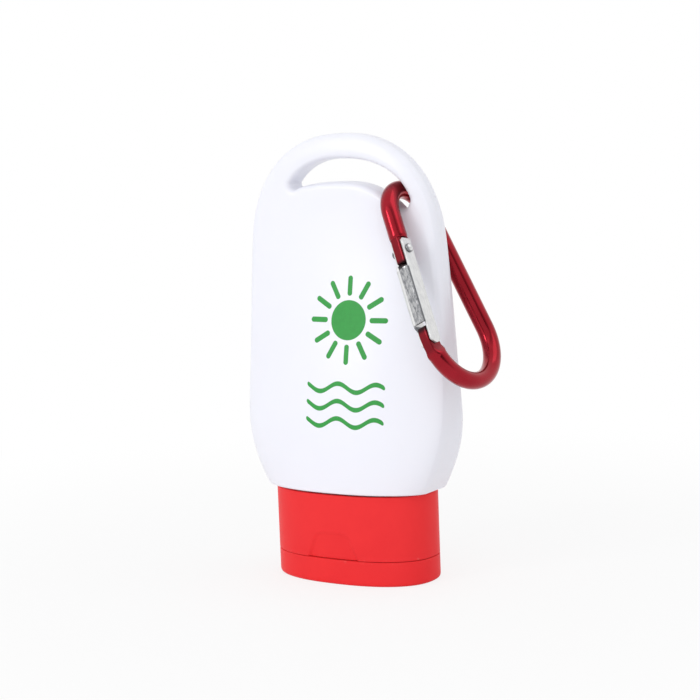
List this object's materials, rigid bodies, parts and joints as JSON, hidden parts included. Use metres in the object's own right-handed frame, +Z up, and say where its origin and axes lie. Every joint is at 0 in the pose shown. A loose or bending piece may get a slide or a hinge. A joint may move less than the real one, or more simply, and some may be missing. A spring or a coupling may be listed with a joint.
{
  "type": "squeeze bottle with flip-top cap and snap hook",
  "caption": "Flattened oval squeeze bottle standing on a flip-top cap, with a loop handle at the top that carries a pear-shaped snap hook with a sprung gate.",
  "frame": {"origin": "middle of the lid's flat face on the ground, on which the bottle stands", "axes": "+Z up along the bottle's height, +X across its width towards the hook, front towards -Y"},
  "size_m": [0.065, 0.0289, 0.105],
  "materials": {
    "bottle_white": "white opaque blow-moulded plastic, softly glossy",
    "cap_red": "coral red moulded plastic, satin to glossy",
    "hook_red": "red anodised aluminium rod, shiny",
    "gate_steel": "grey pressed steel sheet and wire, satin"
  },
  "bodies": {
    "bottle": {"bottle_body": "bottle_white", "cap_base": "cap_red", "hinge_strap_left": "cap_red", "hinge_strap_middle": "cap_red", "hinge_strap_right": "cap_red"},
    "lid": {"cap_lid": "cap_red"},
    "snap_hook": {"hook_body": "hook_red", "gate_rivet": "gate_steel"},
    "gate": {"hook_gate": "gate_steel", "gate_spring": "gate_steel", "spring_plunger": "gate_steel"}
  },
  "joints": [
    {"name": "lid_hinge", "type": "hinge", "parent": "bottle", "child": "lid", "pos_m": [0, 0.01175, 0.00605], "axis": [1, 0, 0], "range_deg": [0, 125], "deforming": ["hinge_strap_left", "hinge_strap_middle", "hinge_strap_right"]},
    {"name": "hook_swing", "type": "hinge", "parent": "bottle", "child": "snap_hook", "pos_m": [0.0147, 0.00055, 0.0916], "axis": [-0.1217, -0.9914, 0.0471], "range_deg": [0, 80]},
    {"name": "gate_pivot", "type": "hinge", "parent": "snap_hook", "child": "gate", "pos_m": [0.02048, -0.00908, 0.07815], "axis": [0.8908, -0.0882, 0.4457], "range_deg": [0, 20], "stiffness_Nm_per_rad": 0.05, "springref_deg": -11.46}
  ]
}
